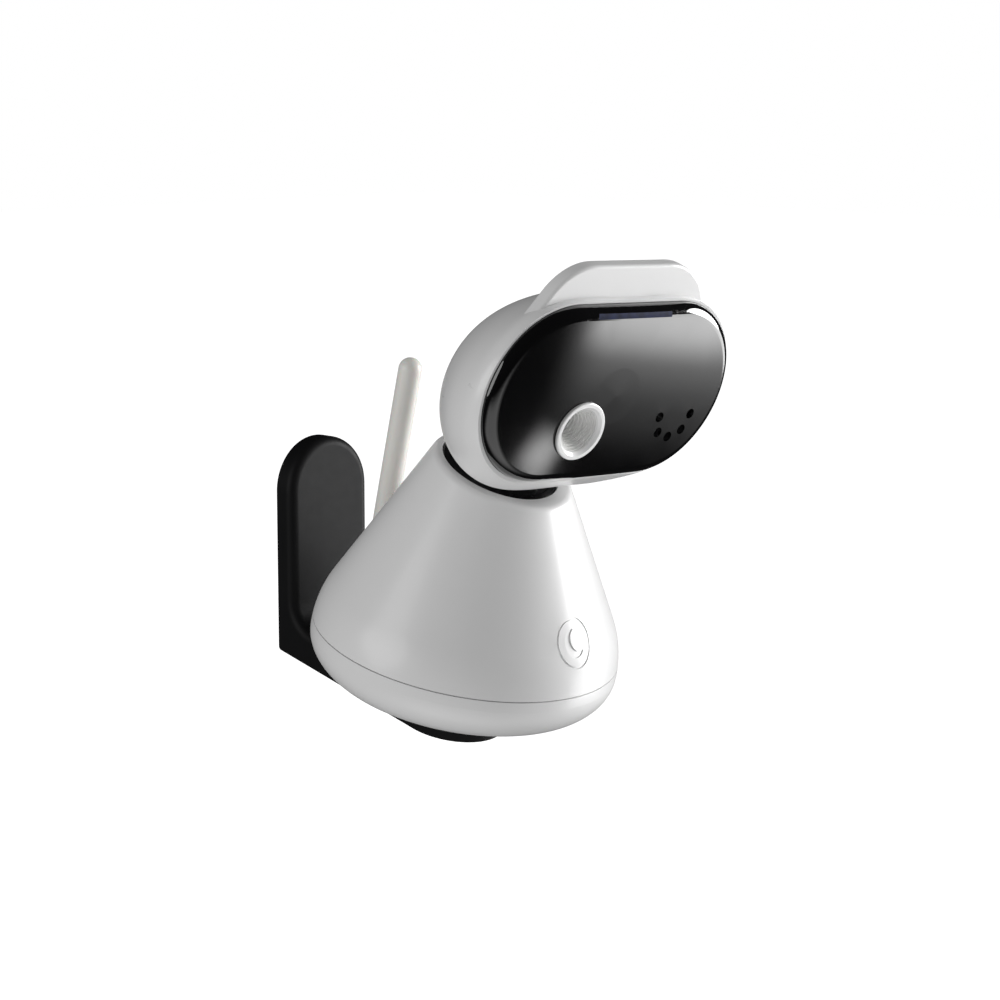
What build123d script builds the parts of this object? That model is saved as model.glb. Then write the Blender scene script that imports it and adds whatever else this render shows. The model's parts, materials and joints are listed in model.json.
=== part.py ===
"""Baby monitor camera on a wall bracket.

Millimetres, +Z up. The origin is on the wall, in the middle of the bracket's back face.
The wall plate stands along Z and the camera looks towards -Y.
"""
from build123d import *
from math import acos, atan2, cos, pi, radians, sin, tan
import os

os.makedirs("parts", exist_ok=True)

# ---------------------------------------------------------------- driving dimensions
WALL = 2.2                      # moulding wall of the body
RUNNING = 0.05                  # radial clearance of a shaft in its bore
REACH = 60.0                    # longer than any cut needs

# wall bracket
PLATE_HALF = 15.3               # half width of the wall plate and of the shelf
PLATE_THICK = 6.6
PLATE_LOW, PLATE_HIGH = -32.0, 30.7
SHELF_THICK, INNER_CORNER = 9.6, 9.0
LEAN = 13.7                     # the shelf and the body lean forward from the wall
KEYHOLE_HEIGHTS = (14.0, -12.0)
KEYHOLE_HEAD, KEYHOLE_SHANK, KEYHOLE_DEPTH = 4.3, 2.3, 4.2

# body of revolution, measured along its own axis from the underside
BODY_ORIGIN = (0, -59.2, -35.9)
BOTTOM_RADIUS = 27.0
WAIST_RADIUS, WAIST_Z = 44.0, 12.85
SHOULDER_RADIUS, CONE_ANGLE = 31.55, 27.2
SEAM_Z = 15.8
PAD_GAP = 0.6                   # the rubber pad lifts the body off the shelf
INSERT_RADIUS, THREAD_RADIUS = 5.5, 3.2
TOWER_CIRCLE, TOWER_ANGLES = 33.0, (270, 0, 150)
POST_CIRCLE, POST_ANGLES = 29.0, (235, 325, 115)
BOARD_Z, BOARD_THICK, BOARD_RADIUS = 19.5, 1.5, 36.5
PORT_Z = 22.65
USB_ANGLE, SWITCH_ANGLE, BUTTON_ANGLE = 30, 60, 108
SWITCH_TRAVEL, BUTTON_TRAVEL = 3.0, 0.8
EMBLEM_Z, EMBLEM_RADIUS, EMBLEM_DEPTH = 29.9, 6.4, 0.3

# neck, heights measured along the slanted pan axis from the collar rim
NECK_Y, NECK_Z = -1.1, 67.9
COLLAR_SLANT = 12.7
COLLAR_RADIUS = 16.9
STEM_RADIUS = 9.0
DISC_TOP, DISC_SEAT, DISC_LOW = -0.3, -1.9, -3.4
FLOOR_TOP, FLOOR_LOW = -5.2, -8.2
GEAR_TOP, GEAR_WIDTH = -9.8, 4.0
STEM_LOW = -15.2
MOTOR_PLATE_TOP, MOTOR_PLATE_THICK = -15.7, 1.5
PAN_AT_REST = -4.5

# head, measured back from the edge of the face
FACE_WIDTH, FACE_HEIGHT = 86.3, 49.8
FACE_FORWARD, FACE_ABOVE = 25.35, 40.2
FACE_CROWN, FACE_SPHERE, FACE_EDGE = 3.9, 900.0, 3.2
PANEL_SEAT = 2.5
TILT_AT_REST = -7.0
TILT_DEPTH, TILT_DROP = 21.0, 8.5
HEAD_SPLIT, HEAD_WALL = 9.0, 2.0
HEAD_SECTIONS = (               # depth, half width, centre height, half height, roundness of the outline
    (0.0, 44.0, -0.2, 25.8, 0.0),
    (2.5, 44.7, -1.2, 27.0, 0.08),
    (8.0, 43.8, -3.7, 28.7, 0.35),
    (14.0, 41.6, -6.0, 29.2, 0.6),
    (20.0, 38.1, -7.6, 27.9, 0.7),
    (26.0, 33.6, -8.5, 25.1, 0.75),
    (32.0, 27.4, -8.8, 20.6, 0.75),
    (37.0, 20.4, -8.7, 15.2, 0.75),
    (41.0, 12.4, -8.3, 9.2, 0.75),
    (43.4, 5.2, -8.0, 3.8, 0.75),
    (44.0, 1.8, -8.0, 1.4, 0.75),
)
HOOD_TOP, HOOD_TOP_HALF, HOOD_CORNER = 34.6, 22.5, 17.0
HOOD_SIDE_HALF, HOOD_SIDE_V = 44.6, 1.0
HOOD_FRONT, HOOD_BACK = 2.0, 6.2
TILT_UP, TILT_DOWN = 25.0, 18.0   # how far the face turns from rest
POST_HALF, POST_DEPTH, SLOT_GAP = 7.2, 5.2, 0.8
LENS = (-10.1, -9.4)
LENS_RING_RADIUS, LENS_BORE, BAFFLE_LOW = 8.2, 6.2, -3.6
SPEAKER_HOLES = ((19.3, -7.4), (20.4, -12.0), (24.9, -13.6), (29.6, -11.8), (31.4, -7.2))
SPEAKER, SPEAKER_RADIUS, MICROPHONE_RADIUS = (26.7, -11.2), 6.3, 1.7
HEAD_SCREW = (37.0, -7.0)
RIB_IN, RIB_OUT = 15.5, 18.5
BARREL_RADIUS, BARREL_HALF, PIN_RADIUS = 5.5, 15.0, 2.6

# gears
MODULE, PRESSURE, BACKLASH = 0.6, 25.0, 0.10
PINION_TEETH, PAN_TEETH, TILT_TEETH = 14, 42, 30
PAN_CENTRES = MODULE * (PINION_TEETH + PAN_TEETH) / 2
TILT_CENTRES = MODULE * (PINION_TEETH + TILT_TEETH) / 2
TILT_PINION_ANGLE = 70.0        # round the tilt axis, from straight back towards up
TILT_GEAR_X, TILT_GEAR_WIDTH = 9.6, 3.0

# antenna
ANTENNA_Y, ANTENNA_PIVOT_Z = 39.2, 22.4
ANTENNA_RADIUS, ANTENNA_TOP = 3.4, 86.0
SOCKET_HALF, SOCKET_LOW, SOCKET_HIGH, SOCKET_Y = 5.6, 17.7, 36.4, 34.0
CHANNEL_HALF, CHANNEL_LOW, CHANNEL_Y, HINGE_PIN = 4.3, 18.7, 35.2, 1.2

# ---------------------------------------------------------------- reference planes
BODY = Plane(Location(BODY_ORIGIN, (LEAN, 0, 0)))
BODY_SECTION = Plane(BODY.location * Location((0, 0, 0), (90, 0, 0)))
BODY_AXIS = Axis(BODY.origin, BODY.z_dir)
NECK = Plane(BODY.location * Location((0, NECK_Y, NECK_Z), (COLLAR_SLANT, 0, 0)))
PANNED = Plane(NECK.location * Location((0, 0, 0), (0, 0, PAN_AT_REST)))
HEAD = Plane(PANNED.location * Location((0, -FACE_FORWARD, FACE_ABOVE), (TILT_AT_REST, 0, 0)))
FACE = Plane(HEAD.location * Location((0, 0, 0), (90, 0, 0)))
TILT = Plane(FACE.location * Location((0, -TILT_DROP, -TILT_DEPTH), (0, 90, 0)))
TILT_GEAR = Plane(TILT.location * Location((0, 0, 0), (0, 0, TILT_PINION_ANGLE)))
TILT_PINION = Plane(TILT_GEAR.location * Location((TILT_CENTRES, 0, 0), (0, 0, 180)))
ANTENNA_HINGE = Plane(BODY.location * Location((0, ANTENNA_Y, ANTENNA_PIVOT_Z), (0, 90, 0)))


def rim_plane(angle, radius=0.0):
    """Plane facing out of the body at port height; x points down, y runs round the body."""
    spot = Location((radius * cos(radians(angle)), radius * sin(radians(angle)), PORT_Z), (0, 0, angle))
    return Plane(BODY.location * spot * Location((0, 0, 0), (0, 90, 0)))


def ring_spots(radius, angles):
    """Points on a circle."""
    return [(radius * cos(radians(a)), radius * sin(radians(a))) for a in angles]


TOWERS = ring_spots(TOWER_CIRCLE, TOWER_ANGLES)
POSTS = ring_spots(POST_CIRCLE, POST_ANGLES)
FEET = ((20.5, 8), (-20.5, 8), (13, -19), (-13, -19))
MOTOR_POSTS = ((13.5, -14.5), (-13.5, -14.5))
YOKE_SCREWS = ring_spots(11.6, (60, 120, 200, 340))


# ---------------------------------------------------------------- shared shapes
def bar(plane, radius, low, high, bore=0.0, spots=((0, 0),)):
    """Round bars or tubes standing on a plane between two heights."""
    with BuildPart() as rod:
        with BuildSketch(plane.offset(low)):
            with Locations(*spots):
                Circle(radius)
                if bore:
                    Circle(bore, mode=Mode.SUBTRACT)
        extrude(amount=high - low)
    return rod.part


def block(plane, x, y, low, high):
    """Rectangular block between two x, two y and two heights."""
    with BuildPart() as box:
        with BuildSketch(plane.offset(low)):
            with Locations((x[0], y[0])):
                Rectangle(x[1] - x[0], y[1] - y[0], align=(Align.MIN, Align.MIN))
        extrude(amount=high - low)
    return box.part


def slot_bar(width, height, low, high):
    """Slot-shaped prism on the face plane."""
    with BuildPart() as slot:
        with BuildSketch(FACE.offset(low)):
            SlotOverall(width, height)
        extrude(amount=high - low)
    return slot.part


def body_solid(inset, low, high):
    """Solid of revolution of the body, moved in by inset, between two heights."""
    with BuildPart() as solid:
        with BuildSketch(BODY_SECTION):
            with BuildLine():
                base = Line((0, inset), (BOTTOM_RADIUS, inset))
                EllipticalCenterArc((BOTTOM_RADIUS, WAIST_Z), WAIST_RADIUS - BOTTOM_RADIUS - inset,
                                    WAIST_Z - inset, start_angle=270, arc_size=90)
                shoulder = CenterArc((WAIST_RADIUS - SHOULDER_RADIUS, WAIST_Z), SHOULDER_RADIUS - inset,
                                     0, CONE_ANGLE)
                cone = PolarLine(shoulder @ 1, REACH, CONE_ANGLE + 90)
                top = Line(cone @ 1, (0, (cone @ 1).Y))
                Line(top @ 1, base @ 0)
            make_face()
            with Locations((0, low)):
                Rectangle(REACH, high - low, align=(Align.MIN, Align.MIN), mode=Mode.INTERSECT)
        revolve(axis=BODY_AXIS)
    return solid.part


def slot_points(half, centre, height, roundness, per_end=9):
    """Points round a slot outline stretched to a half width and half height; at roundness 1 it is an ellipse."""
    radius = FACE_HEIGHT / 2
    straight = FACE_WIDTH / 2 - radius
    wide, tall = 2 * half / FACE_WIDTH, height / radius
    points = []
    for side in (1, -1):
        for step in range(per_end):
            angle = -pi / 2 + pi * step / (per_end - 1)
            slot = (straight + radius * cos(angle)) * wide
            across = slot + (half * cos(angle) - slot) * roundness
            points.append((side * across, side * radius * sin(angle) * tall + centre))
        points.append((0, side * height + centre))
    return points


def inner_sections(wall):
    """Head sections moved square to the surface by a wall thickness."""
    moved = []
    for before, here, after in zip(HEAD_SECTIONS[:1] + HEAD_SECTIONS, HEAD_SECTIONS,
                                   HEAD_SECTIONS[1:] + HEAD_SECTIONS[-1:]):
        shrink = (before[1] + before[3] - after[1] - after[3]) / 2
        slope = atan2(shrink, after[0] - before[0])
        if min(here[1], here[3]) - wall * cos(slope) > 1.5:
            moved.append((here[0] - wall * sin(slope), here[1] - wall * cos(slope), here[2],
                          here[3] - wall * cos(slope), here[4]))
    return moved


def head_loft(sections):
    """Domed back of the head."""
    with BuildPart() as dome:
        for depth, half, centre, height, roundness in sections:
            with BuildSketch(FACE.offset(-depth)):
                with BuildLine():
                    Spline(*slot_points(half, centre, height, roundness), periodic=True)
                make_face()
        loft()
    return dome.part


def gear_points(teeth, turn):
    """Involute gear outline with a tooth on the x axis, turned by a part of a tooth."""
    pitch = MODULE * teeth / 2
    base = pitch * cos(radians(PRESSURE))
    tip, root = pitch + 0.95 * MODULE, pitch - 1.25 * MODULE
    involute = tan(radians(PRESSURE)) - radians(PRESSURE)
    low = max(base, root) + 0.01
    flank = []
    for step in range(5):
        radius = low + (tip - low) * step / 4
        load = acos(base / radius)
        flank.append((radius, pi / (2 * teeth) - BACKLASH / (2 * pitch) + involute - tan(load) + load))
    profile = [(root, -flank[0][1])] + [(r, -a) for r, a in flank]
    profile += [(r, a) for r, a in reversed(flank)] + [(root, flank[0][1])]
    points = []
    for tooth in range(teeth):
        middle = 2 * pi * (tooth + turn) / teeth
        points += [(r * cos(middle + a), r * sin(middle + a)) for r, a in profile]
    return points


def gear(plane, teeth, width, bore=0.0, turn=0.0):
    """Spur gear standing on a plane."""
    with BuildPart() as wheel:
        with BuildSketch(plane):
            with BuildLine():
                Polyline(*gear_points(teeth, turn), close=True)
            make_face()
            if bore:
                Circle(bore, mode=Mode.SUBTRACT)
        extrude(amount=width)
    return wheel.part


def save(name, part):
    """Label a piece and write it out."""
    part.label = name
    export_step(part, f"parts/{name}.step")


# ---------------------------------------------------------------- wall bracket
SHELF_LOW = -PAD_GAP - SHELF_THICK
with BuildPart() as wall_bracket:
    with BuildSketch(Plane.YZ):
        with Locations((0, PLATE_LOW + 2)):
            Rectangle(PLATE_THICK, PLATE_HIGH - PLATE_LOW - 2, align=(Align.MAX, Align.MIN))
        with Locations(Location((BODY_ORIGIN[1], BODY_ORIGIN[2]), LEAN)):
            with Locations((-PLATE_HALF, SHELF_LOW)):
                Rectangle(1.5 * REACH, SHELF_THICK, align=(Align.MIN, Align.MIN))
        Rectangle(3 * REACH, 3 * REACH, align=(Align.MAX, Align.CENTER), mode=Mode.INTERSECT)
        inner = vertices().filter_by_position(Axis.X, -PLATE_THICK - 0.01, -PLATE_THICK + 0.01)
        fillet(inner.sort_by(Axis.Y)[0], radius=INNER_CORNER)
        fillet(vertices().filter_by_position(Axis.X, -0.01, 0.01).sort_by(Axis.Y)[0], radius=1.2)
    extrude(amount=PLATE_HALF, both=True)
    with BuildSketch(Plane.XZ):
        with Locations((0, PLATE_HIGH - PLATE_HALF)):
            Rectangle(2 * PLATE_HALF, PLATE_HALF, align=(Align.CENTER, Align.MIN))
            Circle(PLATE_HALF, mode=Mode.SUBTRACT)
    extrude(amount=PLATE_THICK, mode=Mode.SUBTRACT)
    with BuildSketch(BODY.offset(SHELF_LOW)):
        Rectangle(2 * PLATE_HALF, PLATE_HALF, align=(Align.CENTER, Align.MAX))
        Circle(PLATE_HALF, mode=Mode.SUBTRACT)
    extrude(amount=SHELF_THICK, mode=Mode.SUBTRACT)
    # soft edge all round the front of the plate and the top of the shelf
    plate_front = faces().filter_by(Plane.XZ).sort_by(Axis.Y)[0]
    corner = faces().filter_by(GeomType.CYLINDER).filter_by(lambda f: f.radius == INNER_CORNER)[0]
    shelf_top = faces().filter_by(GeomType.PLANE).filter_by(lambda f: (f.normal_at() - BODY.z_dir).length < 0.01)[0]
    outline = plate_front.edges() + corner.edges() + shelf_top.edges()
    fillet(outline - outline.filter_by(Axis.X), radius=2.6)
    # screw seat under the shelf
    add(bar(BODY, 6.0, SHELF_LOW, SHELF_LOW + 5.0), mode=Mode.SUBTRACT)
    add(bar(BODY, 3.3, SHELF_LOW, 0), mode=Mode.SUBTRACT)
    # keyholes in the back
    for height in KEYHOLE_HEIGHTS:
        with BuildSketch(Plane.XZ):
            with Locations((0, height)):
                Circle(KEYHOLE_HEAD)
                Rectangle(2 * KEYHOLE_SHANK, 8, align=(Align.CENTER, Align.MIN))
            with Locations((0, height + 8)):
                Circle(KEYHOLE_SHANK)
        extrude(amount=KEYHOLE_DEPTH, mode=Mode.SUBTRACT)
        with BuildSketch(Plane.XZ.offset(2.0)):
            with Locations((0, height)):
                Rectangle(2 * KEYHOLE_HEAD, 8, align=(Align.CENTER, Align.MIN))
            with Locations((0, height + 8)):
                Circle(KEYHOLE_HEAD)
        extrude(amount=KEYHOLE_DEPTH - 2.0, mode=Mode.SUBTRACT)
save("wall_bracket", wall_bracket.part)

with BuildPart() as mount_screw:
    add(bar(BODY, 5.6, SHELF_LOW + 1.0, SHELF_LOW + 5.0))
    add(bar(BODY, THREAD_RADIUS - RUNNING, SHELF_LOW + 5.0, 8.0))
    add(block(BODY, (-5.6, 5.6), (-0.7, 0.7), SHELF_LOW + 1.0, SHELF_LOW + 2.6), mode=Mode.SUBTRACT)
save("mount_screw", mount_screw.part)

# ---------------------------------------------------------------- base
LIP_OUT, LIP_IN = 41.2, 39.4
INSERT_LOW, INSERT_HIGH = 0.5, 10.5
with BuildPart() as base_cover:
    add(body_solid(0, 0, SEAM_Z))
    add(body_solid(WALL, WALL, SEAM_Z), mode=Mode.SUBTRACT)
    add(bar(BODY, LIP_OUT + 1.2, SEAM_Z - 3, SEAM_Z, bore=LIP_IN))
    add(bar(BODY, LIP_OUT, SEAM_Z, SEAM_Z + 1.5, bore=LIP_IN))
    add(bar(BODY, INSERT_RADIUS + 2.6, WALL / 2, 11.0))
    add(bar(BODY, 2.4, WALL / 2, BOARD_Z, spots=POSTS))
    add(bar(BODY, 4.2, 3.4, 8.0, spots=TOWERS))
    # insert seat, screw holes with head pockets, board screw holes, pad groove and foot seats
    add(bar(BODY, THREAD_RADIUS + 0.3, 0, 12.0), mode=Mode.SUBTRACT)
    add(bar(BODY, INSERT_RADIUS, INSERT_LOW, 12.0), mode=Mode.SUBTRACT)
    add(bar(BODY, 1.6, 0, 9.0, spots=TOWERS), mode=Mode.SUBTRACT)
    add(bar(BODY, 3.0, 0, 5.0, spots=TOWERS), mode=Mode.SUBTRACT)
    add(bar(BODY, 0.95, BOARD_Z - 7, BOARD_Z + 1, spots=POSTS), mode=Mode.SUBTRACT)
    add(bar(BODY, 14.5, 0, PAD_GAP, bore=9.5), mode=Mode.SUBTRACT)
    add(bar(BODY, 3.0, 0, PAD_GAP, spots=FEET), mode=Mode.SUBTRACT)
save("base_cover", base_cover.part)

save("threaded_insert", bar(BODY, INSERT_RADIUS, INSERT_LOW, INSERT_HIGH, bore=THREAD_RADIUS))
save("base_pad", bar(BODY, 14.5, -PAD_GAP, PAD_GAP, bore=9.5))
save("base_feet", bar(BODY, 3.0, -PAD_GAP, PAD_GAP, spots=FEET))
save("ballast", bar(BODY, 20.0, WALL, 8.4, bore=INSERT_RADIUS + 2.9))

with BuildPart() as base_screws:
    add(bar(BODY, 2.8, 2.8, 5.0, spots=TOWERS))
    add(bar(BODY, 1.45, 5.0, 17.0, spots=TOWERS))
    add(bar(BODY, 1.0, 2.8, 4.0, spots=TOWERS), mode=Mode.SUBTRACT)
save("base_screws", base_screws.part)

# ---------------------------------------------------------------- body shell
with BuildPart() as hollow:
    add(body_solid(WALL, 0, 90))
    split(bisect_by=NECK.offset(FLOOR_LOW), keep=Keep.BOTTOM)

with BuildPart() as towers:
    add(bar(BODY, 3.4, 8.0, 50.0, spots=TOWERS))
    add(body_solid(WALL / 2, 0, 90), mode=Mode.INTERSECT)

with BuildPart() as emblem:
    with BuildSketch(Plane(rim_plane(270).location * Location((PORT_Z - EMBLEM_Z, 0, 20)))):
        Circle(EMBLEM_RADIUS)
        Circle(EMBLEM_RADIUS - 0.6, mode=Mode.SUBTRACT)
        with BuildSketch(mode=Mode.PRIVATE) as crescent:
            Circle(3.6)
            with Locations((-0.9, 1.6)):
                Circle(3.0, mode=Mode.SUBTRACT)
        add(crescent.sketch)
    extrude(amount=30)
    add(body_solid(EMBLEM_DEPTH, 0, 90), mode=Mode.SUBTRACT)

with BuildPart() as body_shell:
    add(body_solid(0, SEAM_Z + 0.3, 90))
    split(bisect_by=NECK, keep=Keep.BOTTOM)
    fillet(faces().sort_by(BODY_AXIS)[-1].edges(), radius=2.4)
    add(hollow.part, mode=Mode.SUBTRACT)
    add(towers.part)
    add(bar(BODY, LIP_OUT + 0.1, SEAM_Z, SEAM_Z + 1.7), mode=Mode.SUBTRACT)
    add(bar(BODY, 3.4, 8.0, SEAM_Z + 1.7, spots=TOWERS))
    add(bar(BODY, 1.5, 0, 20.0, spots=TOWERS), mode=Mode.SUBTRACT)
    # collar recess and bearing seat
    add(bar(NECK, COLLAR_RADIUS, FLOOR_TOP, REACH), mode=Mode.SUBTRACT)
    add(bar(NECK, 12.0, FLOOR_LOW, FLOOR_TOP), mode=Mode.SUBTRACT)
    add(bar(NECK, 2.2, MOTOR_PLATE_TOP, FLOOR_LOW + 1, spots=MOTOR_POSTS))
    add(bar(NECK, 0.95, MOTOR_PLATE_TOP, FLOOR_LOW + 1, spots=MOTOR_POSTS), mode=Mode.SUBTRACT)
    # antenna socket, charging port, switch and button openings
    add(block(BODY, (-SOCKET_HALF - 0.1, SOCKET_HALF + 0.1), (SOCKET_Y - 0.1, REACH), SOCKET_LOW - 0.1,
              SOCKET_HIGH + 0.1), mode=Mode.SUBTRACT)
    with BuildSketch(rim_plane(USB_ANGLE, 30)):
        RectangleRounded(4.2, 10.0, 1.9)
    extrude(amount=REACH / 2, mode=Mode.SUBTRACT)
    with BuildSketch(rim_plane(SWITCH_ANGLE, 30)):
        RectangleRounded(3.2, 3.6 + SWITCH_TRAVEL + 0.8, 0.8)
    extrude(amount=REACH / 2, mode=Mode.SUBTRACT)
    with BuildSketch(rim_plane(BUTTON_ANGLE, 30)):
        Circle(2.8)
    extrude(amount=REACH / 2, mode=Mode.SUBTRACT)
    add(emblem.part, mode=Mode.SUBTRACT)
save("body_shell", body_shell.part)

# ---------------------------------------------------------------- main board and ports
with BuildPart() as main_board:
    with BuildSketch(BODY.offset(BOARD_Z)):
        Circle(BOARD_RADIUS)
        with Locations(*[Location((x, y), a) for (x, y), a in zip(TOWERS, TOWER_ANGLES)]):
            Circle(3.8, mode=Mode.SUBTRACT)
            Rectangle(8, 7.6, align=(Align.MIN, Align.CENTER), mode=Mode.SUBTRACT)
        with Locations((0, SOCKET_Y - 0.6)):
            Rectangle(2 * SOCKET_HALF + 1.2, 8, align=(Align.CENTER, Align.MIN), mode=Mode.SUBTRACT)
        with Locations(*POSTS):
            Circle(1.1, mode=Mode.SUBTRACT)
    extrude(amount=BOARD_THICK)
    with BuildSketch(BODY.offset(BOARD_Z + BOARD_THICK)):
        with Locations((-9, 2)):
            Rectangle(15, 12)
        with Locations((14, -6)):
            Rectangle(9, 9)
        with Locations((-12, -19), (3, -24), (20, 10)):
            Rectangle(6, 4)
    extrude(amount=1.6)
save("main_board", main_board.part)

with BuildPart() as board_screws:
    add(bar(BODY, 1.9, BOARD_Z + BOARD_THICK, BOARD_Z + BOARD_THICK + 1.2, spots=POSTS))
    add(bar(BODY, 0.9, BOARD_Z - 6.5, BOARD_Z + BOARD_THICK, spots=POSTS))
save("board_screws", board_screws.part)

USB = rim_plane(USB_ANGLE)
PORT_DROP = PORT_Z - BOARD_Z - BOARD_THICK
with BuildPart() as usb_socket:
    with BuildSketch(USB.offset(34.0)):
        RectangleRounded(2 * PORT_DROP, 9.0, 1.6)
    extrude(amount=7.4)
    with BuildSketch(USB.offset(35.0)):
        RectangleRounded(2.6, 8.3, 1.25)
    extrude(amount=REACH, mode=Mode.SUBTRACT)
    add(block(USB, (-0.35, 0.35), (-3.3, 3.3), 34.5, 40.6))
save("usb_socket", usb_socket.part)

SWITCH = rim_plane(SWITCH_ANGLE)
with BuildPart() as power_switch:
    add(block(SWITCH, (-1.9, PORT_DROP), (-4.4, 4.4), 34.0, 38.3))
    add(block(SWITCH, (-1.15, 1.15), (-3.4, 3.4), 36.0, 38.3), mode=Mode.SUBTRACT)
save("power_switch", power_switch.part)

with BuildPart() as power_slider:
    add(block(SWITCH, (-1.05, 1.05), (-1.8 - SWITCH_TRAVEL / 2, 1.8 - SWITCH_TRAVEL / 2), 36.1, 38.6))
    add(block(SWITCH, (-1.2, 1.2), (-1.7 - SWITCH_TRAVEL / 2, 1.7 - SWITCH_TRAVEL / 2), 38.6, 43.0))
    for ridge in (-1.0, 0.0, 1.0):
        add(block(SWITCH, (-1.2, 1.2), (ridge - 1.7, ridge - 1.3), 42.6, 43.0), mode=Mode.SUBTRACT)
save("power_slider", power_slider.part)

BUTTON = rim_plane(BUTTON_ANGLE)
with BuildPart() as pair_button:
    add(bar(BUTTON, 3.4, 37.4, 38.2))
    add(bar(BUTTON, 2.5, 38.2, 42.9))
    fillet(faces().sort_by(Axis(BUTTON.origin, BUTTON.z_dir))[-1].edges(), radius=0.6)
save("pair_button", pair_button.part)

with BuildPart() as pair_switch:
    add(block(BUTTON, (-2.6, PORT_DROP), (-2.6, 2.6), 32.4, 35.8))
    add(bar(BUTTON, 1.4, 35.8, 37.4 - BUTTON_TRAVEL - 0.1))
save("pair_switch", pair_switch.part)

# ---------------------------------------------------------------- antenna
with BuildPart() as antenna_socket:
    add(block(BODY, (-SOCKET_HALF, SOCKET_HALF), (SOCKET_Y, REACH), SOCKET_LOW, SOCKET_HIGH))
    add(body_solid(0, 0, 90), mode=Mode.INTERSECT)
    add(block(BODY, (-CHANNEL_HALF, CHANNEL_HALF), (CHANNEL_Y, REACH), CHANNEL_LOW, REACH), mode=Mode.SUBTRACT)
    add(bar(ANTENNA_HINGE, HINGE_PIN, -SOCKET_HALF, SOCKET_HALF), mode=Mode.SUBTRACT)
save("antenna_socket", antenna_socket.part)

save("antenna_pin", bar(ANTENNA_HINGE, HINGE_PIN, -SOCKET_HALF, SOCKET_HALF))

with BuildPart() as antenna:
    add(bar(BODY, ANTENNA_RADIUS, ANTENNA_PIVOT_Z, ANTENNA_TOP - ANTENNA_RADIUS, spots=((0, ANTENNA_Y),)))
    with Locations(BODY.location * Location((0, ANTENNA_Y, ANTENNA_TOP - ANTENNA_RADIUS))):
        Sphere(ANTENNA_RADIUS)
    add(bar(ANTENNA_HINGE, ANTENNA_RADIUS, -CHANNEL_HALF + 0.2, CHANNEL_HALF - 0.2))
    add(bar(ANTENNA_HINGE, HINGE_PIN + RUNNING, -SOCKET_HALF, SOCKET_HALF), mode=Mode.SUBTRACT)
save("antenna", antenna.part)

# ---------------------------------------------------------------- neck
GEAR_LOW = GEAR_TOP - GEAR_WIDTH
MOTOR_PLATE_LOW = MOTOR_PLATE_TOP - MOTOR_PLATE_THICK
PAN_PINION = Plane(NECK.location * Location((0, -PAN_CENTRES, GEAR_LOW)))
with BuildPart() as neck_bearing:
    add(bar(NECK, 15.5, FLOOR_TOP, DISC_LOW - 0.2))
    add(bar(NECK, 12.0, GEAR_TOP + 0.5, FLOOR_TOP))
    add(bar(NECK, STEM_RADIUS + RUNNING, GEAR_LOW, 0), mode=Mode.SUBTRACT)
save("neck_bearing", neck_bearing.part)

with BuildPart() as neck_turntable:
    add(bar(NECK, COLLAR_RADIUS - 0.3, DISC_LOW, DISC_TOP))
    fillet(faces().sort_by(Axis(NECK.origin, NECK.z_dir))[-1].edges(), radius=0.6)
    add(bar(NECK, 14.7, DISC_SEAT, 1), mode=Mode.SUBTRACT)
    add(bar(NECK, STEM_RADIUS, STEM_LOW, DISC_LOW))
    add(bar(NECK, STEM_RADIUS + 1, -14.9, -14.0, bore=8.2), mode=Mode.SUBTRACT)
    add(bar(NECK, 5.0, STEM_LOW, 1), mode=Mode.SUBTRACT)
    add(bar(PANNED, 0.95, DISC_LOW, 1, spots=YOKE_SCREWS), mode=Mode.SUBTRACT)
save("neck_turntable", neck_turntable.part)

save("retaining_ring", bar(NECK, 11.0, -14.85, -14.05, bore=8.25))
save("pan_gear", gear(NECK.offset(GEAR_LOW), PAN_TEETH, GEAR_WIDTH, STEM_RADIUS))

with BuildPart() as pan_pinion:
    add(gear(PAN_PINION, PINION_TEETH, GEAR_WIDTH, turn=0.5))
    add(bar(PAN_PINION, 1.5, -7.6, 0))
save("pan_pinion", pan_pinion.part)

with BuildPart() as motor_bracket:
    with BuildSketch(NECK.offset(MOTOR_PLATE_LOW)):
        with Locations((0, -15)):
            RectangleRounded(33, 18, 4)
        with Locations((0, -PAN_CENTRES)):
            Circle(3.0, mode=Mode.SUBTRACT)
        with Locations(*MOTOR_POSTS):
            Circle(1.1, mode=Mode.SUBTRACT)
    extrude(amount=MOTOR_PLATE_THICK)
save("motor_bracket", motor_bracket.part)

with BuildPart() as motor_screws:
    add(bar(NECK, 1.9, MOTOR_PLATE_LOW - 1.2, MOTOR_PLATE_LOW, spots=MOTOR_POSTS))
    add(bar(NECK, 0.9, MOTOR_PLATE_LOW, -10, spots=MOTOR_POSTS))
save("motor_screws", motor_screws.part)

with BuildPart() as pan_motor:
    add(bar(NECK, 8.5, MOTOR_PLATE_LOW - 14, MOTOR_PLATE_LOW, spots=((0, -PAN_CENTRES),)))
    add(bar(NECK, 1.5 + RUNNING, MOTOR_PLATE_LOW - 5, MOTOR_PLATE_LOW, spots=((0, -PAN_CENTRES),)), mode=Mode.SUBTRACT)
save("pan_motor", pan_motor.part)

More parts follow.
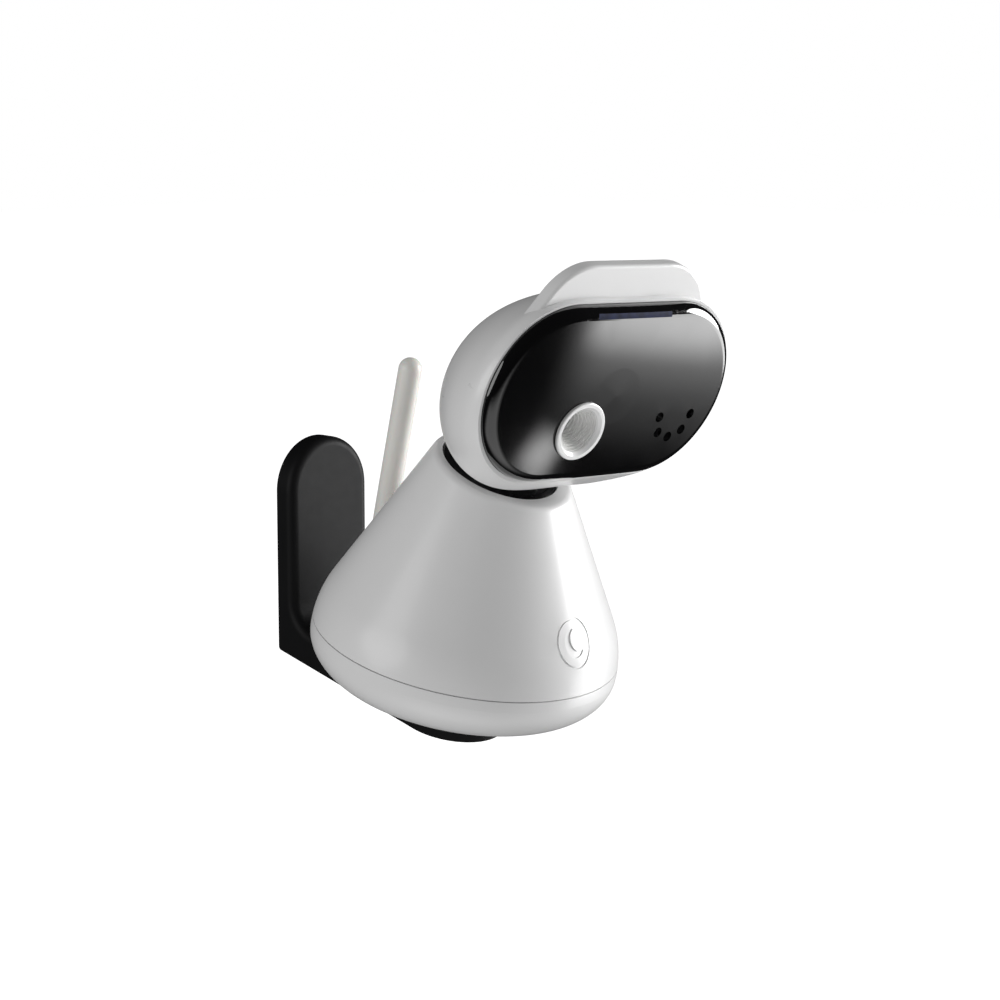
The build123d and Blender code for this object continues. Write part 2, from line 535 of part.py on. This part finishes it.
# ---------------------------------------------------------------- yoke and tilt drive
PIVOT = PANNED.to_local_coords(TILT.origin)
with BuildPart() as yoke:
    add(bar(PANNED, 14.4, DISC_SEAT, DISC_SEAT + 1.4))
    with BuildSketch(PANNED.offset(DISC_SEAT)):
        with Locations((0, PIVOT.Y)):
            RectangleRounded(2 * POST_HALF, 2 * POST_DEPTH, 2)
    extrude(amount=PIVOT.Z - DISC_SEAT)
    add(bar(TILT, BARREL_RADIUS, -BARREL_HALF, BARREL_HALF))
    add(bar(TILT, PIN_RADIUS, -RIB_OUT - 1.5, RIB_OUT + 1.5))
    # cable way up the post, screw holes in the flange
    add(bar(PANNED, 3.4, DISC_SEAT, 20, spots=((0, PIVOT.Y),)), mode=Mode.SUBTRACT)
    add(block(PANNED, (-2.4, 2.4), (PIVOT.Y, PIVOT.Y + 9), 13, 20), mode=Mode.SUBTRACT)
    add(bar(PANNED, 1.1, DISC_SEAT, 1, spots=YOKE_SCREWS), mode=Mode.SUBTRACT)
save("yoke", yoke.part)

with BuildPart() as yoke_screws:
    add(bar(PANNED, 1.7, DISC_SEAT + 1.4, DISC_SEAT + 2.2, spots=YOKE_SCREWS))
    add(bar(PANNED, 0.9, DISC_LOW, DISC_SEAT + 1.4, spots=YOKE_SCREWS))
save("yoke_screws", yoke_screws.part)

save("tilt_gear", gear(TILT_GEAR.offset(TILT_GEAR_X), TILT_TEETH, TILT_GEAR_WIDTH, bore=BARREL_RADIUS, turn=0.5))

with BuildPart() as tilt_pinion:
    add(gear(TILT_PINION.offset(TILT_GEAR_X), PINION_TEETH, TILT_GEAR_WIDTH))
    add(bar(TILT_PINION, 1.2, 5.0, TILT_GEAR_X))
save("tilt_pinion", tilt_pinion.part)

with BuildPart() as tilt_motor:
    add(bar(TILT_PINION, 6.4, -6.5, 9.0))
    add(bar(TILT_PINION, 1.2 + RUNNING, 4.5, 9.0), mode=Mode.SUBTRACT)
save("tilt_motor", tilt_motor.part)

with BuildPart() as tilt_bushings:
    for side in (TILT, Plane(TILT.location * Location((0, 0, 0), (0, 180, 0)))):
        add(bar(side, 3.6, RIB_IN, RIB_OUT, bore=PIN_RADIUS + RUNNING))
        add(bar(side, 4.6, RIB_OUT, RIB_OUT + 0.8, bore=PIN_RADIUS + RUNNING))
save("tilt_bushings", tilt_bushings.part)

# ---------------------------------------------------------------- head shells
head_outer = head_loft(HEAD_SECTIONS)
head_inner = head_loft(inner_sections(HEAD_WALL))
head_middle = head_loft(inner_sections(HEAD_WALL / 2))
SCREW_SPOTS = ((HEAD_SCREW[0], HEAD_SCREW[1]), (-HEAD_SCREW[0], HEAD_SCREW[1]))
SCREW_HEAD_RADIUS, SCREW_HEAD_TOP, CAP_RADIUS, CAP_OVER_SCREW = 2.1, 16.4, 2.3, 0.2
OPENING = (FACE_WIDTH - 6.3, FACE_HEIGHT - 6.2)

with BuildPart() as head_fittings:
    # ribs that carry the tilt pins, cradle for the tilt motor, bosses for the screws
    for low in (RIB_IN, -RIB_OUT):
        add(block(TILT, (-8, REACH), (-18, 16), low, low + RIB_OUT - RIB_IN))
    add(block(TILT, (-3, 14), (8, REACH), -3.0, 0.0))
    add(bar(FACE, 3.3, -REACH, -HEAD_SPLIT, spots=SCREW_SPOTS))
    for side in (1, -1):
        add(block(FACE, sorted((side * 37, side * 46)), (HEAD_SCREW[1] - 1.5, HEAD_SCREW[1] + 1.5), -REACH, -HEAD_SPLIT))
    add(head_middle, mode=Mode.INTERSECT)

with BuildPart() as tilt_slot:
    with BuildSketch(TILT.offset(-POST_HALF - SLOT_GAP)):
        with BuildLine():
            Polyline((0, 0), *[(REACH * cos(radians(a)), REACH * sin(radians(a)))
                               for a in (270 - TILT_AT_REST + TILT_UP, 270 - TILT_AT_REST - TILT_DOWN)], close=True)
        make_face()
        for limit in (TILT_UP, -TILT_DOWN):
            with Locations(Location((0, 0), 270 - TILT_AT_REST + limit)):
                Rectangle(REACH, 2 * (POST_DEPTH + SLOT_GAP), align=(Align.MIN, Align.CENTER))
    extrude(amount=2 * (POST_HALF + SLOT_GAP))

with BuildPart() as head_rear_shell:
    add(head_outer)
    add(head_inner, mode=Mode.SUBTRACT)
    add(head_fittings.part)
    split(bisect_by=FACE.offset(-HEAD_SPLIT), keep=Keep.BOTTOM)
    add(tilt_slot.part, mode=Mode.SUBTRACT)
    add(bar(TILT, 3.6, -RIB_OUT, RIB_OUT), mode=Mode.SUBTRACT)
    add(bar(TILT_PINION, 6.4, -6.5, 9.0), mode=Mode.SUBTRACT)
    add(bar(FACE, 1.1, -REACH, -HEAD_SPLIT, spots=SCREW_SPOTS), mode=Mode.SUBTRACT)
    add(bar(FACE, 2.4, -REACH, -15, spots=SCREW_SPOTS), mode=Mode.SUBTRACT)
save("head_rear_shell", head_rear_shell.part)

with BuildPart() as head_screws:
    add(bar(FACE, SCREW_HEAD_RADIUS, -SCREW_HEAD_TOP, -15, spots=SCREW_SPOTS))
    add(bar(FACE, 1.0, -15, -5.2, spots=SCREW_SPOTS))
save("head_screws", head_screws.part)

with BuildPart() as screw_caps:
    # plugs that close the screw pockets flush with the shell
    add(bar(FACE, CAP_RADIUS, -REACH, -SCREW_HEAD_TOP - CAP_OVER_SCREW, spots=SCREW_SPOTS))
    add(head_outer, mode=Mode.INTERSECT)
save("screw_caps", screw_caps.part)

with BuildPart() as hood:
    with BuildSketch(FACE.offset(-HOOD_BACK)):
        with BuildLine():
            Polyline((-HOOD_SIDE_HALF, HOOD_SIDE_V), (-HOOD_TOP_HALF, HOOD_TOP), (HOOD_TOP_HALF, HOOD_TOP),
                     (HOOD_SIDE_HALF, HOOD_SIDE_V), close=True)
        make_face()
        fillet(vertices().sort_by(Axis.Y)[-2:], radius=HOOD_CORNER)
    extrude(amount=HOOD_BACK - HOOD_FRONT)
    rims = edges().filter_by(lambda e: FACE.to_local_coords(e.center()).Y > HOOD_SIDE_V + 2)
    fillet(rims - rims.filter_by(Axis(FACE.origin, FACE.z_dir)), radius=0.9)

with BuildPart() as front_hollow:
    add(head_inner)
    split(bisect_by=FACE.offset(-PANEL_SEAT - 2), keep=Keep.BOTTOM)

with BuildPart() as front_bosses:
    add(bar(FACE, 3.0, -HEAD_SPLIT, -PANEL_SEAT - 1, spots=SCREW_SPOTS))
    for side in (1, -1):
        add(block(FACE, sorted((side * 37, side * 46)), (HEAD_SCREW[1] - 1.5, HEAD_SCREW[1] + 1.5), -HEAD_SPLIT,
                  -PANEL_SEAT - 1))
    add(head_middle, mode=Mode.INTERSECT)

with BuildPart() as head_front_shell:
    add(head_outer)
    split(bisect_by=FACE.offset(-HEAD_SPLIT), keep=Keep.TOP)
    add(hood.part)
    add(front_hollow.part, mode=Mode.SUBTRACT)
    add(slot_bar(*OPENING, -HEAD_SPLIT, 1), mode=Mode.SUBTRACT)
    add(front_bosses.part)
    add(bar(FACE, 1.0, -HEAD_SPLIT, -PANEL_SEAT - 1.8, spots=SCREW_SPOTS), mode=Mode.SUBTRACT)
    add(slot_bar(FACE_WIDTH + 0.2, FACE_HEIGHT + 0.2, -PANEL_SEAT, 1), mode=Mode.SUBTRACT)
save("head_front_shell", head_front_shell.part)

# ---------------------------------------------------------------- face panel and what sits behind it
CAMERA = Plane(FACE.location * Location((LENS[0], LENS[1], 0)))
CAMERA_POSTS = ((12.6, 9.0), (-12.6, 9.0), (12.6, -9.0), (-12.6, -9.0))
LED_SPOTS = ((8.2, 6.4), (-8.2, 6.4), (8.2, -6.4), (-8.2, -6.4))
SKIN = 1.6                      # height of the panel's inner face above the face plane
BOARD_FRONT = -9.6
with BuildPart() as panel_blank:
    add(slot_bar(FACE_WIDTH, FACE_HEIGHT, -PANEL_SEAT, FACE_CROWN))
    with Locations(FACE.location * Location((0, 0, FACE_CROWN - FACE_SPHERE))):
        Sphere(FACE_SPHERE, mode=Mode.INTERSECT)
    fillet(faces().sort_by(Axis(FACE.origin, FACE.z_dir))[-1].edges(), radius=FACE_EDGE)

with BuildPart() as light_guide:
    add(block(FACE, (-14.2, 12.6), (22.1, 23.5), 0.6, 5))
    add(block(FACE, (-14.2, 12.6), (20.4, 23.5), 0.6, SKIN))

with BuildPart() as face_panel:
    add(panel_blank.part)
    add(slot_bar(*OPENING, -PANEL_SEAT, SKIN), mode=Mode.SUBTRACT)
    add(bar(CAMERA, 1.7, BOARD_FRONT, SKIN, spots=CAMERA_POSTS))
    add(bar(CAMERA, LENS_RING_RADIUS - 0.7, -1, 5), mode=Mode.SUBTRACT)
    add(bar(FACE, 1.45, 0, 5, spots=SPEAKER_HOLES), mode=Mode.SUBTRACT)
    add(light_guide.part, mode=Mode.SUBTRACT)
save("face_panel", face_panel.part)

with BuildPart() as status_light:
    add(light_guide.part)
    add(panel_blank.part, mode=Mode.INTERSECT)
save("status_light", status_light.part)

with BuildPart() as light_board:
    add(block(FACE, (-16, 16), (15.2, 21.4), -0.8, 0.4))
    add(block(FACE, (-11, -8), (16.4, 19), 0.4, 1.4))
    add(block(FACE, (8, 11), (16.4, 19), 0.4, 1.4))
save("light_board", light_board.part)

with BuildPart() as lens_ring:
    add(bar(CAMERA, LENS_RING_RADIUS, 3.9, 4.7))
    add(bar(CAMERA, LENS_RING_RADIUS - 0.7, -0.6, 3.9))
    add(bar(CAMERA, LENS_BORE, -1, 5), mode=Mode.SUBTRACT)
    top_rims = faces().sort_by(Axis(CAMERA.origin, CAMERA.z_dir))[-1].edges().sort_by(SortBy.RADIUS)
    chamfer(top_rims[0], 0.8)
    fillet(top_rims[-1], radius=0.35)
save("lens_ring", lens_ring.part)

with BuildPart() as lens_baffle:
    add(bar(CAMERA, LENS_BORE, BAFFLE_LOW, 3.3))
    for step in range(7):
        add(bar(CAMERA, 5.8 - 0.5 * step, 2.7 - 0.85 * step, 5), mode=Mode.SUBTRACT)
    add(bar(CAMERA, 2.2, BAFFLE_LOW, 5), mode=Mode.SUBTRACT)
save("lens_baffle", lens_baffle.part)

with BuildPart() as lens_glass:
    add(bar(CAMERA, 2.9, -5.6, BAFFLE_LOW))
    with Locations(CAMERA.location * Location((0, 0, BAFFLE_LOW - 6))):
        Sphere(6, mode=Mode.INTERSECT)
save("lens_glass", lens_glass.part)

with BuildPart() as lens_barrel:
    add(bar(CAMERA, 5.6, BOARD_FRONT, BAFFLE_LOW))
    add(bar(CAMERA, 2.9, -5.6, BAFFLE_LOW), mode=Mode.SUBTRACT)
    add(bar(CAMERA, 2.0, -8.0, BAFFLE_LOW), mode=Mode.SUBTRACT)
save("lens_barrel", lens_barrel.part)

with BuildPart() as camera_board:
    add(block(CAMERA, (-15, 15), (-11.4, 11.4), BOARD_FRONT - 1.2, BOARD_FRONT))
    add(block(CAMERA, (-5, 6), (-5, 5), BOARD_FRONT - 2.6, BOARD_FRONT - 1.2))
save("camera_board", camera_board.part)

with BuildPart() as ir_leds:
    add(bar(CAMERA, 1.5, BOARD_FRONT, 0.4, spots=LED_SPOTS))
    fillet(faces().filter_by(CAMERA).group_by(Axis(CAMERA.origin, CAMERA.z_dir))[-1].edges(), radius=1.2)
save("ir_leds", ir_leds.part)

with BuildPart() as speaker:
    add(bar(FACE, SPEAKER_RADIUS, -1.2, SKIN, spots=(SPEAKER,)))
    add(bar(FACE, 4.9, 0.8, SKIN, spots=(SPEAKER,)), mode=Mode.SUBTRACT)
    add(bar(FACE, 3.6, -4.4, -1.2, spots=(SPEAKER,)))
save("speaker", speaker.part)

save("microphone", bar(FACE, MICROPHONE_RADIUS, -0.4, SKIN, spots=(SPEAKER_HOLES[0],)))
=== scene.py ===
import json
import math
from collections import Counter

import bpy
from mathutils import Matrix, Vector


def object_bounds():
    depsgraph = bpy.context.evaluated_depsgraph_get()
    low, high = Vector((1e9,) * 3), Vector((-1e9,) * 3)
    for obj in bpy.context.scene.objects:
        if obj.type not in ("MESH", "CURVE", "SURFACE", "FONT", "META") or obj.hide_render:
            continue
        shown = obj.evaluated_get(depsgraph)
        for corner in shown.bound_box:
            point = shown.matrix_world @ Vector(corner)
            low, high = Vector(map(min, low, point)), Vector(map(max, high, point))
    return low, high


MM = 0.001
LEAST_ROUGHNESS = 0.02
GLOSS_PATCHES = 6  # patches of uneven gloss across one patch of tone
OFF_NORMAL = 0.95  # cosine to its face's normal below which a corner's normal is off
FAN_CORNERS = 12  # off corners that one vertex has when it is the pole of a crown

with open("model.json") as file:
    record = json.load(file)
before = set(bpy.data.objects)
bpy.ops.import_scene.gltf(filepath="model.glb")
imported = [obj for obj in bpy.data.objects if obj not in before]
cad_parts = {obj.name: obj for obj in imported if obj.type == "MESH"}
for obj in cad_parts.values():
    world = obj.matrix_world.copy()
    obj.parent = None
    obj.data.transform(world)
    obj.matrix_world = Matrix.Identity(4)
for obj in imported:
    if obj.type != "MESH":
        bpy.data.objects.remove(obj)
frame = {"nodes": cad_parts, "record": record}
CAD_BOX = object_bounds()


# ---- node helpers -----------------------------------------------------------------------------

def add(tree, kind, inputs=None, **settings):
    """A new shader node with its settings made and its inputs linked or set."""
    made = tree.nodes.new(kind)
    for name, value in settings.items():
        setattr(made, name, value)
    for socket, value in (inputs or {}).items():
        if isinstance(value, bpy.types.NodeSocket):
            tree.links.new(value, made.inputs[socket])
        else:
            made.inputs[socket].default_value = value
    return made


def ramp(tree, factor, low, high, start=0.35, end=0.65):
    """A colour that runs from low to high as factor crosses the stretch from start to end."""
    made = add(tree, "ShaderNodeValToRGB", {"Fac": factor})
    stops = made.color_ramp.elements
    stops[0].position, stops[0].color = start, (*low, 1.0)
    stops[1].position, stops[1].color = end, (*high, 1.0)
    return made.outputs["Color"]


def spread(tree, factor, low, high, start=0.3, end=0.7):
    """A number that runs from low to high as factor crosses the stretch from start to end."""
    values = {"Value": factor, "From Min": start, "From Max": end, "To Min": low, "To Max": high}
    return add(tree, "ShaderNodeMapRange", values).outputs["Result"]


def maths(tree, operation, *values):
    made = add(tree, "ShaderNodeMath", operation=operation)
    for socket, value in zip(made.inputs, values):
        if isinstance(value, bpy.types.NodeSocket):
            tree.links.new(value, socket)
        else:
            socket.default_value = value
    return made.outputs["Value"]


# ---- relief patterns: each returns a height between 0 and 1 ----------------------------------

def grain(tree, place, size):
    """Spark-eroded mould texture, or the orange peel of a polished shell when size is large."""
    inputs = {"Vector": place, "Scale": 1 / size, "Detail": 4.0, "Roughness": 0.6}
    return add(tree, "ShaderNodeTexNoise", inputs).outputs["Fac"]


def pebble(tree, place, size):
    """Rounded stipple of moulded rubber."""
    inputs = {"Vector": place, "Scale": 1 / size, "Smoothness": 0.6}
    return add(tree, "ShaderNodeTexVoronoi", inputs, feature="SMOOTH_F1").outputs["Distance"]


def turning(tree, place, size):
    """Fine circular lathe marks broken up by noise."""
    inputs = {"Vector": place, "Scale": 1 / size, "Distortion": 1.5, "Detail": 2.0}
    return add(tree, "ShaderNodeTexWave", inputs, wave_type="RINGS").outputs["Fac"]


def tracks(tree, place, size):
    """Square-cornered copper tracks under a circuit board's mask."""
    inputs = {"Vector": place, "Scale": 1 / size, "Randomness": 0.7}
    cells = add(tree, "ShaderNodeTexVoronoi", inputs, feature="F1", distance="CHEBYCHEV")
    return spread(tree, cells.outputs["Distance"], 0.0, 1.0, 0.42, 0.5)


# ---- the crown of the face panel -------------------------------------------------------------

def crown_middle(node):
    """Where a crowned CAD face is shaded with a wrong normal, as the pole's place and its reach."""
    mesh = frame["nodes"][node].data
    corners = mesh.corner_normals
    off = Counter(
        mesh.loops[loop].vertex_index
        for face in mesh.polygons
        for loop in face.loop_indices
        if corners[loop].vector.dot(face.normal) < OFF_NORMAL
    )
    if not off or off.most_common(1)[0][1] < FAN_CORNERS:
        return None
    pole = off.most_common(1)[0][0]
    place = mesh.vertices[pole].co
    fan = [face for face in mesh.polygons if pole in face.vertices]
    reach = max((mesh.vertices[end].co - place).length for face in fan for end in face.vertices)
    return place.copy(), reach


def facing(tree, place, middle):
    """The surface's smooth normal, or near a crown's middle the normal of its faces."""
    pole, reach = middle
    normals = add(tree, "ShaderNodeNewGeometry").outputs
    away = add(tree, "ShaderNodeVectorMath", {0: place, 1: pole}, operation="DISTANCE")
    near = maths(tree, "LESS_THAN", away.outputs["Value"], reach)
    factor, smooth, faceted = 0, 4, 5  # sockets of the vector version of the node
    inputs = {factor: near, smooth: normals["Normal"], faceted: normals["True Normal"]}
    return add(tree, "ShaderNodeMix", inputs, data_type="VECTOR").outputs[1]


# ---- finishes --------------------------------------------------------------------------------


def finish(name, colour, roughness, pattern=grain, size=0.25, relief=0.004, tone=0.03,
           uneven=0.04, patch=18.0, second=None, middle=None, **shader):
    """A procedural finish. In mm: the pattern's cell size, its relief and the tone's patch."""
    material = bpy.data.materials.new(name)
    material.use_nodes = True
    tree = material.node_tree
    principled = tree.nodes["Principled BSDF"]
    place = add(tree, "ShaderNodeTexCoord").outputs["Object"]
    cloud = grain(tree, place, patch * MM)
    height = pattern(tree, place, size * MM)
    if second is None:
        low = [channel * (1 - tone) for channel in colour]
        high = [min(channel * (1 + tone), 1.0) for channel in colour]
        shade = ramp(tree, cloud, low, high)
    else:
        shade = ramp(tree, height, colour, second)
    mottle = grain(tree, place, patch * MM / GLOSS_PATCHES)
    low_gloss = max(roughness - uneven, LEAST_ROUGHNESS)
    gloss = spread(tree, mottle, low_gloss, roughness + uneven)
    bump = add(tree, "ShaderNodeBump", {"Height": height, "Distance": relief * MM})
    if middle:
        tree.links.new(facing(tree, place, middle), bump.inputs["Normal"])
    tree.links.new(shade, principled.inputs["Base Color"])
    tree.links.new(gloss, principled.inputs["Roughness"])
    tree.links.new(bump.outputs["Normal"], principled.inputs["Normal"])
    tree.links.new(bump.outputs["Normal"], principled.inputs["Coat Normal"])
    for socket, value in shader.items():
        principled.inputs[socket.replace("_", " ")].default_value = value
    return material


FINISHES = {
    "white_gloss": finish(
        "white_gloss", (0.80, 0.80, 0.80), 0.33, size=0.5, relief=0.0003, tone=0.006,
        uneven=0.015, Coat_Weight=0.2, Coat_Roughness=0.15),
    "white_satin": finish(
        "white_satin", (0.74, 0.74, 0.73), 0.45, size=0.15, relief=0.001, tone=0.012, uneven=0.02),
    "ring_white": finish(
        "ring_white", (0.88, 0.88, 0.88), 0.25, size=0.4, relief=0.0003, tone=0.006,
        uneven=0.015, Coat_Weight=0.4, Coat_Roughness=0.08),
    "warm_white": finish(
        "warm_white", (0.80, 0.79, 0.75), 0.38, size=0.5, relief=0.0006, tone=0.015,
        uneven=0.02, Subsurface_Weight=0.15, Subsurface_Scale=0.002),
    "panel_black": finish(
        "panel_black", (0.0035, 0.0035, 0.004), 0.07, size=6.0, relief=0.0002, uneven=0.008,
        middle=crown_middle("face_panel"), Coat_Weight=1.0, Coat_Roughness=0.02),
    "neck_black": finish(
        "neck_black", (0.008, 0.008, 0.009), 0.24, size=0.3, relief=0.0006),
    "black_matte": finish(
        "black_matte", (0.006, 0.006, 0.0065), 0.52, size=0.22, relief=0.003, tone=0.10,
        uneven=0.03, Specular_IOR_Level=0.15),
    "rubber_black": finish(
        "rubber_black", (0.014, 0.014, 0.014), 0.78, pattern=pebble, size=0.45, relief=0.03,
        tone=0.12),
    "steel": finish(
        "steel", (0.56, 0.56, 0.57), 0.27, pattern=turning, size=0.35, relief=0.002,
        tone=0.05, uneven=0.07, Metallic=1.0),
    "brass_part": finish(
        "brass_part", (0.69, 0.50, 0.22), 0.33, pattern=turning, size=0.3, relief=0.004,
        tone=0.06, Metallic=1.0),
    "cast_weight": finish(
        "cast_weight", (0.17, 0.17, 0.18), 0.62, size=0.9, relief=0.05, tone=0.15,
        uneven=0.1, Metallic=0.8),
    "board_green": finish(
        "board_green", (0.012, 0.10, 0.045), 0.34, pattern=tracks, size=2.2, relief=0.02,
        second=(0.03, 0.19, 0.08)),
    "inner_grey": finish(
        "inner_grey", (0.19, 0.19, 0.20), 0.52, size=0.3, relief=0.006, tone=0.06),
    "gear_white": finish(
        "gear_white", (0.78, 0.77, 0.72), 0.36, size=0.5, relief=0.003, tone=0.03,
        Subsurface_Weight=0.1, Subsurface_Scale=0.001),
    "led_clear": finish(
        "led_clear", (0.72, 0.74, 0.80), 0.08, size=0.8, relief=0.0008,
        Transmission_Weight=0.85, IOR=1.5),
    "lens_glass": finish(
        "lens_glass", (0.05, 0.055, 0.075), 0.04, size=3.0, relief=0.0002, uneven=0.01,
        second=(0.09, 0.08, 0.12), IOR=1.7, Coat_Weight=0.6, Coat_Roughness=0.01),
    "light_blue": finish(
        "light_blue", (0.003, 0.006, 0.026), 0.45, size=2.5, relief=0.0005,
        second=(0.008, 0.013, 0.055), Specular_IOR_Level=0.08),
}


def dress(record):
    """Gives every CAD node the finish of its own slot."""
    for part in record["subparts"]:
        slots = frame["nodes"][part["node"]].data.materials
        slots.clear()
        slots.append(FINISHES[part["material_slot"]])


# ---- studio ----------------------------------------------------------------------------------

def turn(tree, direction, toward, ahead):
    """Angle of a direction away from ahead, measured toward another direction."""
    parts = []
    for axis in (toward, ahead):
        made = add(tree, "ShaderNodeVectorMath", {0: direction, 1: axis}, operation="DOT_PRODUCT")
        parts.append(made.outputs["Value"])
    return maths(tree, "ARCTAN2", *parts)


def between(tree, angle, low, high, blur):
    """1 between two angles and 0 outside them, with soft edges. The limits are in degrees."""
    edges = []
    for start, end in ((low - blur, low + blur), (high + blur, high - blur)):
        values = {"Value": angle, "From Min": math.radians(start), "From Max": math.radians(end)}
        made = add(tree, "ShaderNodeMapRange", values, interpolation_type="SMOOTHSTEP")
        edges.append(made.outputs["Result"])
    return maths(tree, "MULTIPLY", *edges)


def softbox(tree, direction, aim, across, upward, blur, strength):
    """Radiance of a soft-edged rectangle of light far away. In degrees; azimuth 0 is +X."""
    azimuth, elevation, roll = (math.radians(angle) for angle in aim)
    outward = Vector((math.cos(azimuth), math.sin(azimuth), 0.0))
    level = Vector((-math.sin(azimuth), math.cos(azimuth), 0.0))
    ahead = outward * math.cos(elevation) + Vector((0.0, 0.0, math.sin(elevation)))
    side = Matrix.Rotation(roll, 3, ahead) @ level
    total = strength
    for axis, limits in ((side, across), (ahead.cross(side), upward)):
        inside = between(tree, turn(tree, direction, axis, ahead), *limits, blur)
        total = maths(tree, "MULTIPLY", total, inside)
    return total


AMBIENT = 0.33
AMBIENT_IN_GLOSS = 0.015  # the room is nearly dark in reflections, so the panel stays black
FACE_LIGHT = (-34.0, -22.0, 18.0)
SOFTBOXES = (
    # aim (azimuth, elevation, roll), limits across, limits upward, blur, strength
    (FACE_LIGHT, (-11.1, 22.0), (-6.6, 16.0), 1.1, 3.0),
    (FACE_LIGHT, (-11.1, 22.0), (-8.0, 16.0), 1.9, 1.0),
    (FACE_LIGHT, (-11.4, 22.0), (-10.8, 16.0), 1.6, 0.3),
    ((-42.2, -36.8, 0.0), (-0.9, 0.9), (-0.9, 0.9), 0.9, 3.4),
    ((-125.0, -62.0, 0.0), (-42.0, 42.0), (-26.0, 26.0), 12.0, 0.85),
)


def studio_world():
    """A white room to look at, lit as a dim tent with soft boxes."""
    world = bpy.data.worlds.new("studio")
    bpy.context.scene.world = world
    world.use_nodes = True
    tree = world.node_tree
    tree.nodes.clear()
    direction = add(tree, "ShaderNodeTexCoord").outputs["Generated"]
    path = add(tree, "ShaderNodeLightPath").outputs
    light = spread(tree, path["Is Glossy Ray"], AMBIENT, AMBIENT_IN_GLOSS, 0.0, 1.0)
    for box in SOFTBOXES:
        light = maths(tree, "ADD", light, softbox(tree, direction, *box))
    strength = maths(tree, "MAXIMUM", light, path["Is Camera Ray"])
    background = add(tree, "ShaderNodeBackground", {"Color": (1, 1, 1, 1), "Strength": strength})
    output = add(tree, "ShaderNodeOutputWorld")
    tree.links.new(background.outputs["Background"], output.inputs["Surface"])


def area_light(name, place, target, size, power):
    """A round lamp that faces target."""
    lamp = bpy.data.lights.new(name, "AREA")
    lamp.shape = "DISK"
    lamp.size = size
    lamp.energy = power
    made = bpy.data.objects.new(name, lamp)
    bpy.context.scene.collection.objects.link(made)
    made.location = place
    made.rotation_euler = (place - target).to_track_quat("Z", "Y").to_euler()


FLOOR_HALF = 6.0
FLOOR_DROP = 0.25
FLOOR_GLOW = 0.85


def floor_under(low):
    """A plain pale floor, well below the object because the object hangs on a wall."""
    mesh = bpy.data.meshes.new("floor")
    corners = [(x * FLOOR_HALF, y * FLOOR_HALF, low - FLOOR_DROP)
               for x, y in ((-1, -1), (1, -1), (1, 1), (-1, 1))]
    mesh.from_pydata(corners, [], [(0, 1, 2, 3)])
    made = bpy.data.objects.new("floor", mesh)
    bpy.context.scene.collection.objects.link(made)
    mesh.materials.append(finish(
        "floor_paper", (0.90, 0.90, 0.90), 0.85, size=2.0, relief=0.02, tone=0.01,
        Emission_Color=(1, 1, 1, 1), Emission_Strength=FLOOR_GLOW))
    made.visible_glossy = False
    made.visible_diffuse = False


CAMERA_PLACE = Vector((-0.49361, -0.54806, 0.13710))
CAMERA_RIGHT = Vector((0.69127, -0.72260, 0.00168))
CAMERA_UP = Vector((0.12087, 0.11792, 0.98564))
FOCAL_LENGTH = 90.0
SENSOR_WIDTH = 36.0
NEAREST = 0.02


def camera():
    """A long lens a little above the object and to its right, rolled slightly."""
    lens = bpy.data.cameras.new("camera")
    lens.lens = FOCAL_LENGTH
    lens.sensor_width = SENSOR_WIDTH
    lens.clip_start = NEAREST
    made = bpy.data.objects.new("camera", lens)
    bpy.context.scene.collection.objects.link(made)
    axes = Matrix((CAMERA_RIGHT, CAMERA_UP, CAMERA_RIGHT.cross(CAMERA_UP))).transposed()
    made.matrix_world = Matrix.Translation(CAMERA_PLACE) @ axes.to_4x4()
    bpy.context.scene.camera = made


LAMPS = (
    # name, place from the middle of the object, diameter, power
    ("key_right", (0.66, -0.38, 0.12), 0.45, 7.0),
    ("fill_left", (-0.80, 0.22, 0.18), 0.6, 2.2),
)


def studio(low, high):
    middle = (low + high) / 2
    studio_world()
    for name, away, size, power in LAMPS:
        area_light(name, middle + Vector(away), middle, size, power)
    floor_under(low.z)
    camera()


dress(frame["record"])
studio(*(Vector(corner) for corner in CAD_BOX))

scene = bpy.context.scene
scene.view_settings.view_transform = "Standard"
scene.view_settings.look = "None"
